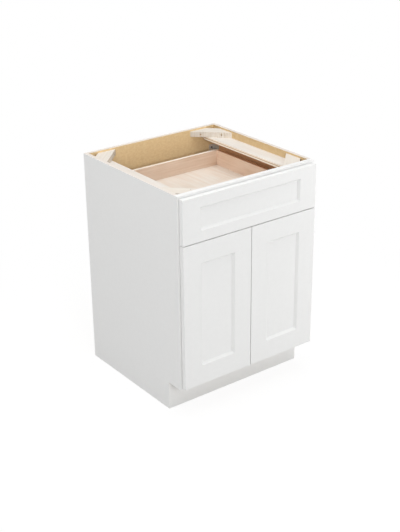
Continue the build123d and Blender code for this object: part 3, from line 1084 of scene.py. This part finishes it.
@dataclass(frozen=True)
class Palette:
    """The finishes that several sub-assemblies share."""

    paint: SatinPaint = SatinPaint()
    paint_across: SatinPaint = SatinPaint(Axis.X)

    # Veneers inside the carcass: its back and level boards, its sides, and the sides beside the drawer. All
    # are one plywood: the back and level boards' tan is lightened as painted light, for light the back
    # panel lacks; the sides' tan is darker as painted shade; the redder tan beside the drawer is painted
    # shade under the stretchers.
    tan: Veneer = mottled((244, 217, 171), (227, 194, 141))
    shaded_side_tan: Veneer = mottled((216, 189, 145), (202, 170, 120))
    bay_shade_tan: Veneer = mottled((236, 182, 138), (218, 163, 113))

    # Bare plywood on the outside of the back, with an open figure, and on the stretchers.
    raw: Veneer = Veneer(
        Tone.of((234, 212, 176), (213, 183, 140)), rough=(0.57, 0.70), cloud=0.30, figure=0.45, fibre=0.30
    )
    pale: Veneer = Veneer(Tone.of((231, 227, 221), (222, 213, 203)), rough=(0.55, 0.68), figure=0.10)

    # The drawer box: its front and back, its rosier sides, the upper edges of both, and its floor. The
    # upper edges are one wood, paler on the front and back as painted light from above and darker red-brown
    # on the sides as painted shade under the stretchers.
    pink: Veneer = Veneer(Tone.of((230, 209, 191), (209, 180, 155)), cloud=0.35, figure=0.25, fibre=0.40)
    rose: Veneer = Veneer(Tone.of((240, 217, 198), (219, 187, 161)), cloud=0.35, figure=0.25, fibre=0.40)
    lit_edge: Veneer = Veneer(Tone.of((243, 236, 227), (235, 222, 208)))
    shaded_edge: Veneer = Veneer(Tone.of((204, 151, 115), (190, 136, 99)))
    drawer_floor: Veneer = Veneer(
        Tone.of((234, 228, 219), (226, 211, 196)), cloud=0.3, figure=0.35, fibre=0.35
    )

    # Metal: slides, their rear brackets, hinges and pins, wood screws, and slide screws. The brackets' zinc
    # is lighter and less metallic than the slides' as painted light, for the shade they sit in at the back.
    bright_zinc: PlatedSteel = PlatedSteel(Tone.of((200, 200, 201), (188, 188, 190)), (0.24, 0.40), 0.9)
    lit_bracket_zinc: PlatedSteel = PlatedSteel(Tone.of((222, 217, 211), (213, 208, 202)), (0.36, 0.52), 0.45)
    nickel: PlatedSteel = PlatedSteel(Tone.of((206, 203, 198), (180, 178, 174)), (0.18, 0.34))
    yellow_zinc: PlatedSteel = PlatedSteel(Tone.of((214, 188, 146), (190, 162, 120)), (0.34, 0.50), 0.35)
    black_oxide: PlatedSteel = PlatedSteel(Tone.of((84, 80, 78), (62, 60, 60)), (0.34, 0.50))

    def paint_boards(self, name: str, uprights: Sequence[str], levels: Sequence[str]) -> None:
        """Paints boards, with the grain upright or level under the paint.

        Args:
            name: What the boards are part of.
            uprights: Nodes with upright grain.
            levels: Nodes with level grain.
        """
        for run, paint, nodes in (("stile", self.paint, uprights), ("rail", self.paint_across, levels)):
            material = paint.material(f"{name}_{run}_paint")
            for node in nodes:
                put_on(node, material)


@dataclass
class Carcass:
    """Sides, back, floor, shelf and toe kick."""

    palette: Palette
    sides: Names = ("left_side_panel", "right_side_panel")
    level_boards: Names = ("bottom_panel", "adjustable_shelf")
    bay_soft: float = 8.0 * MM
    seed: float = 1.0

    def dress(self) -> None:
        """Puts veneer, plies and paint on each board."""
        seed = self.seed
        for node in self.sides:
            low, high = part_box(node)
            outward = -1 if low.x < 0 else 1
            face = OuterFace(Axis.X, low.x if outward < 0 else high.x, outward)
            # The sides' darker tan is painted shade.
            veneer = self.palette.shaded_side_tan.cut(Axis.Z, seed)
            # The band beside the drawer is painted shade.
            PlyBoard(node, veneer, Axis.X, band=self.drawer_bay_shade(seed), outer_face=face).dress()
            seed += 1.0
        # The back's lighter tan is painted light.
        PlyBoard(
            "back_panel",
            self.palette.tan.cut(Axis.Z, seed),
            Axis.Y,
            outer_face=OuterFace(Axis.Y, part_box("back_panel")[1].y, 1),
            outer_finish=self.palette.raw.cut(Axis.Z, seed + 0.6),
        ).dress()
        for node in self.level_boards:
            seed += 1.0
            PlyBoard(node, self.palette.tan.cut(Axis.X, seed), Axis.Z).dress()
        PlyBoard("toe_kick_board", self.palette.tan.cut(Axis.X, seed + 1.0), Axis.Y).dress()
        put_on("toe_kick_skin", self.palette.paint_across.material("toe_kick_paint"))
        ShelfPins("shelf_pins", "carcass", self.palette.nickel).build()

    def drawer_bay_shade(self, seed: float) -> ShadeBand:
        """Painted shade: a redder veneer beside the drawer, from the middle rail up to the stretchers, for
        the deep shade there.

        Args:
            seed: Moves the pattern.

        Returns:
            The band.
        """
        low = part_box("frame_middle_rail")[1].z
        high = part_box("left_top_stretcher")[0].z
        return ShadeBand(low, high, self.bay_soft, self.palette.bay_shade_tan.cut(Axis.Z, seed + 0.3))


@dataclass
class FaceFrame:
    """The painted frame on the front of the carcass."""

    palette: Palette
    stiles: Names = ("frame_left_stile", "frame_right_stile")
    rails: Names = ("frame_top_rail", "frame_middle_rail", "frame_bottom_rail")

    def dress(self) -> None:
        """Paints the stiles and rails."""
        self.palette.paint_boards("frame", self.stiles, self.rails)


@dataclass
class TopBracing:
    """Stretchers and corner blocks under the open top."""

    palette: Palette
    stretchers: Names = ("left_top_stretcher", "right_top_stretcher")
    blocks: tuple[tuple[str, Lean], ...] = (
        ("front_left_corner_block", Lean.BACKWARD),
        ("front_right_corner_block", Lean.FORWARD),
        ("rear_left_corner_block", Lean.FORWARD),
        ("rear_right_corner_block", Lean.BACKWARD),
    )
    plies: int = 3
    ply_strength: float = 0.9
    dark_share: float = 0.38
    ply_tone: Tone = Tone.of((252, 243, 230), (203, 177, 147))
    block_tone: Tone = Tone.of((229, 222, 212), (188, 166, 139))
    stretcher_seed: float = 10.0
    block_seed: float = 14.0

    def dress(self) -> None:
        """Pale plywood on the stretchers, sawn wood on the blocks, and the blocks' screws."""
        plies = (self.ply_tone, self.plies, self.ply_strength, self.dark_share)
        for index, node in enumerate(self.stretchers):
            face = self.palette.pale.cut(Axis.Y, self.stretcher_seed + index)
            PlyBoard(node, face, Axis.Z, *plies).dress()
        for index, (node, lean) in enumerate(self.blocks):
            wood = SawnBlock(self.block_tone, lean, self.block_seed + index)
            put_on(node, wood.material(f"{node}_wood"))
        Screws("corner_block_screws", "carcass", self.palette.yellow_zinc).build()


@dataclass
class DrawerUnit:
    """The drawer box and its painted front."""

    palette: Palette
    cross_boards: Names = ("drawer_box_front", "drawer_box_back")
    side_boards: Names = ("drawer_box_left_side", "drawer_box_right_side")
    uprights: Names = ("drawer_front_left_stile", "drawer_front_right_stile")
    levels: Names = ("drawer_front_top_rail", "drawer_front_bottom_rail", "drawer_front_panel")
    box_seed: float = 20.0
    floor_seed: float = 26.0

    def dress(self) -> None:
        """Wood on the box, paint on the front, screws and bumpers."""
        seed = self.box_seed
        # The upper edges are painted light on the front and back and painted shade on the sides.
        for nodes, grain, wood, edge in (
            (self.cross_boards, Axis.X, self.palette.pink, self.palette.lit_edge),
            (self.side_boards, Axis.Y, self.palette.rose, self.palette.shaded_edge),
        ):
            for node in nodes:
                SolidBoard(node, wood.cut(grain, seed), edge.cut(grain, self.box_seed)).dress()
                seed += 1.0
        PlyBoard("drawer_bottom", self.palette.drawer_floor.cut(Axis.Y, self.floor_seed), Axis.Z).dress()
        self.palette.paint_boards("drawer", self.uprights, self.levels)
        Screws("drawer_front_screws", "drawer", self.palette.yellow_zinc).build()
        Bumpers("drawer_bumpers", "drawer").build()


@dataclass
class CabinetDoor:
    """One five-piece door with its hinge cups and bumpers."""

    palette: Palette
    which: Door
    uprights: Names = ("hinge_stile", "meeting_stile", "panel")
    levels: Names = ("top_rail", "bottom_rail")
    metal: Names = ("hinge_cups", "hinge_pins")

    def dress(self) -> None:
        """Paint on the boards, nickel on the hinges, rubber on the bumpers."""
        name = self.which.value
        uprights = [f"{name}_{piece}" for piece in self.uprights]
        levels = [f"{name}_{piece}" for piece in self.levels]
        self.palette.paint_boards(name, uprights, levels)
        nickel = self.palette.nickel.material(f"{name}_hinge_nickel")
        for piece in self.metal:
            put_on(f"{name}_{piece}", nickel)
        Bumpers(f"{name}_bumpers", name).build()


@dataclass
class Hardware:
    """Drawer slides, rear brackets, hinge arms and their screws."""

    palette: Palette
    sides: Names = ("left", "right")
    members: Names = ("cabinet", "middle", "drawer")

    def dress(self) -> None:
        """Plating on all the metal, and the screws."""
        zinc = self.palette.bright_zinc.material("slide_zinc")
        for side in self.sides:
            for member in self.members:
                put_on(f"{side}_slide_{member}_member", zinc)
        # The brackets' lighter, less metallic zinc is painted light.
        put_on("slide_rear_brackets", self.palette.lit_bracket_zinc.material("bracket_zinc"))
        put_on("hinge_arms", self.palette.nickel.material("hinge_arm_nickel"))
        Screws("slide_screws", "carcass", self.palette.black_oxide).build()
        Screws("drawer_slide_screws", "drawer", self.palette.black_oxide).build()
        Screws("hinge_arm_screws", "carcass", self.palette.nickel).build()


@dataclass(frozen=True)
class SoftBox:
    """A square studio lamp that looks at the middle of the cabinet."""

    name: str
    place: Point
    size: float
    power: float
    aim: Point = (0.0, 0.0, 0.45)

    def hang(self) -> None:
        """Makes the lamp."""
        lamp = bpy.data.lights.new(self.name, "AREA")
        lamp.size = self.size
        lamp.energy = self.power
        holder = bpy.data.objects.new(self.name, lamp)
        holder.location = self.place
        toward = Vector(self.aim) - Vector(self.place)
        holder.rotation_euler = toward.to_track_quat("-Z", "Y").to_euler()
        bpy.context.scene.collection.objects.link(holder)


@dataclass
class Studio:
    """White floor, white surround, soft lamps and the camera."""

    floor_drop: float = 0.4 * MM
    floor_half: float = 20.0
    floor_grey: float = 0.7
    shadow_share: float = 0.18
    shadow_near: float = 0.7
    shadow_far: float = 1.5
    lit_floor: float = 0.62
    ambient_strength: float = 0.30
    seen_strength: float = 1.0
    camera_target: Point = (-0.0033, -0.0024, 0.4292)
    camera_distance: float = 4.1724
    camera_azimuth: float = 36.83
    camera_elevation: float = 24.35
    camera_roll: float = -0.652
    sensor_height: float = 36.0
    lens: float = 71.945
    lamps: tuple[SoftBox, ...] = (
        SoftBox("front_left_softbox", (-1.6, -3.65, 2.0), 1.0, 50.5),
        SoftBox("near_right_softbox", (1.4, -1.6, 0.6), 0.6, 8.5),
        SoftBox("left_softbox", (-2.8, 0.8, 1.7), 1.6, 17.0),
        SoftBox("top_softbox", (0.0, -0.2, 3.4), 3.0, 60.0),
        SoftBox("high_left_softbox", (-1.8, -0.6, 2.2), 1.2, 3.8),
        SoftBox("right_softbox", (3.2, 0.8, 0.6), 1.2, 20.0),
        SoftBox("rear_softbox", (0.8, 4.0, 0.6), 1.6, 32.0),
    )

    def build(self) -> None:
        """Sets up everything round the cabinet."""
        bpy.context.scene.view_settings.view_transform = "Standard"
        self.build_surround()
        self.build_floor()
        self.build_camera()
        for lamp in self.lamps:
            lamp.hang()

    def build_surround(self) -> None:
        """A white surround for the eye and an even ambient light for the cabinet."""
        world = bpy.data.worlds.new("white_surround")
        bpy.context.scene.world = world
        world.use_nodes = True
        nodes = Nodes(world.node_tree)
        white = (1.0, 1.0, 1.0, 1.0)
        ambient = nodes.add("Background", white, self.ambient_strength)
        seen = nodes.add("Background", white, self.seen_strength)
        nodes.show("OutputWorld", nodes.add("MixShader", nodes.seen_directly(), ambient, seen))

    def build_floor(self) -> None:
        """A pale floor that stays white to the eye and keeps a soft shadow."""
        half = self.floor_half
        mesh = bpy.data.meshes.new("studio_floor")
        corners = [(-half, -half), (half, -half), (half, half), (-half, half)]
        mesh.from_pydata([(x, y, -self.floor_drop) for x, y in corners], [], [(0, 1, 2, 3)])
        floor = bpy.data.objects.new("studio_floor", mesh)
        bpy.context.scene.collection.objects.link(floor)
        mesh.materials.append(self.floor_material())

    def floor_material(self) -> Material:
        """A pale floor for the light, and for the eye white with the cabinet's shadow near it.

        Returns:
            The floor's material.
        """
        graph = Graph("studio_floor")
        graph.tree.nodes.remove(graph.shader)
        away = graph.add("VectorMath", graph.place["Object"], out="Value", operation="LENGTH")
        share = graph.ramp(away, self.shadow_near, self.shadow_far, self.shadow_share, 0.0)
        matt = graph.add("BsdfDiffuse", (self.floor_grey, self.floor_grey, self.floor_grey, 1.0))
        shadow = graph.add("BsdfDiffuse", graph.math("MULTIPLY", share, self.floor_grey))
        glow = graph.math("MULTIPLY_ADD", share, -self.lit_floor, self.seen_strength)
        seen = graph.add("AddShader", graph.add("Emission", None, glow), shadow)
        graph.show("OutputMaterial", graph.add("MixShader", graph.seen_directly(), matt, seen))
        return graph.material

    def build_camera(self) -> None:
        """Puts the camera at the photograph's viewpoint."""
        turn = math.radians(self.camera_azimuth)
        drop = math.radians(self.camera_elevation)
        level = math.cos(drop)
        forward = Vector((level * math.sin(turn), level * math.cos(turn), -math.sin(drop)))
        right = forward.cross(Axis.Z.direction).normalized()
        right.rotate(Matrix.Rotation(-math.radians(self.camera_roll), 3, forward))
        up = right.cross(forward)
        place = Vector(self.camera_target) - forward * self.camera_distance
        data = bpy.data.cameras.new("camera")
        data.sensor_fit = "VERTICAL"
        data.sensor_height = self.sensor_height
        data.lens = self.lens
        camera = bpy.data.objects.new("camera", data)
        axes = Matrix((right, up, -forward)).transposed().to_4x4()
        camera.matrix_world = Matrix.Translation(place) @ axes
        bpy.context.scene.collection.objects.link(camera)
        bpy.context.scene.camera = camera


def main() -> None:
    """Dresses the cabinet, sub-assembly by sub-assembly, and sets up the studio."""
    logging.basicConfig(level=logging.INFO)
    palette = Palette()
    Carcass(palette).dress()
    FaceFrame(palette).dress()
    TopBracing(palette).dress()
    DrawerUnit(palette).dress()
    for which in Door:
        CabinetDoor(palette, which).dress()
    Hardware(palette).dress()
    Studio().build()


if __name__ == "__main__":
    main()
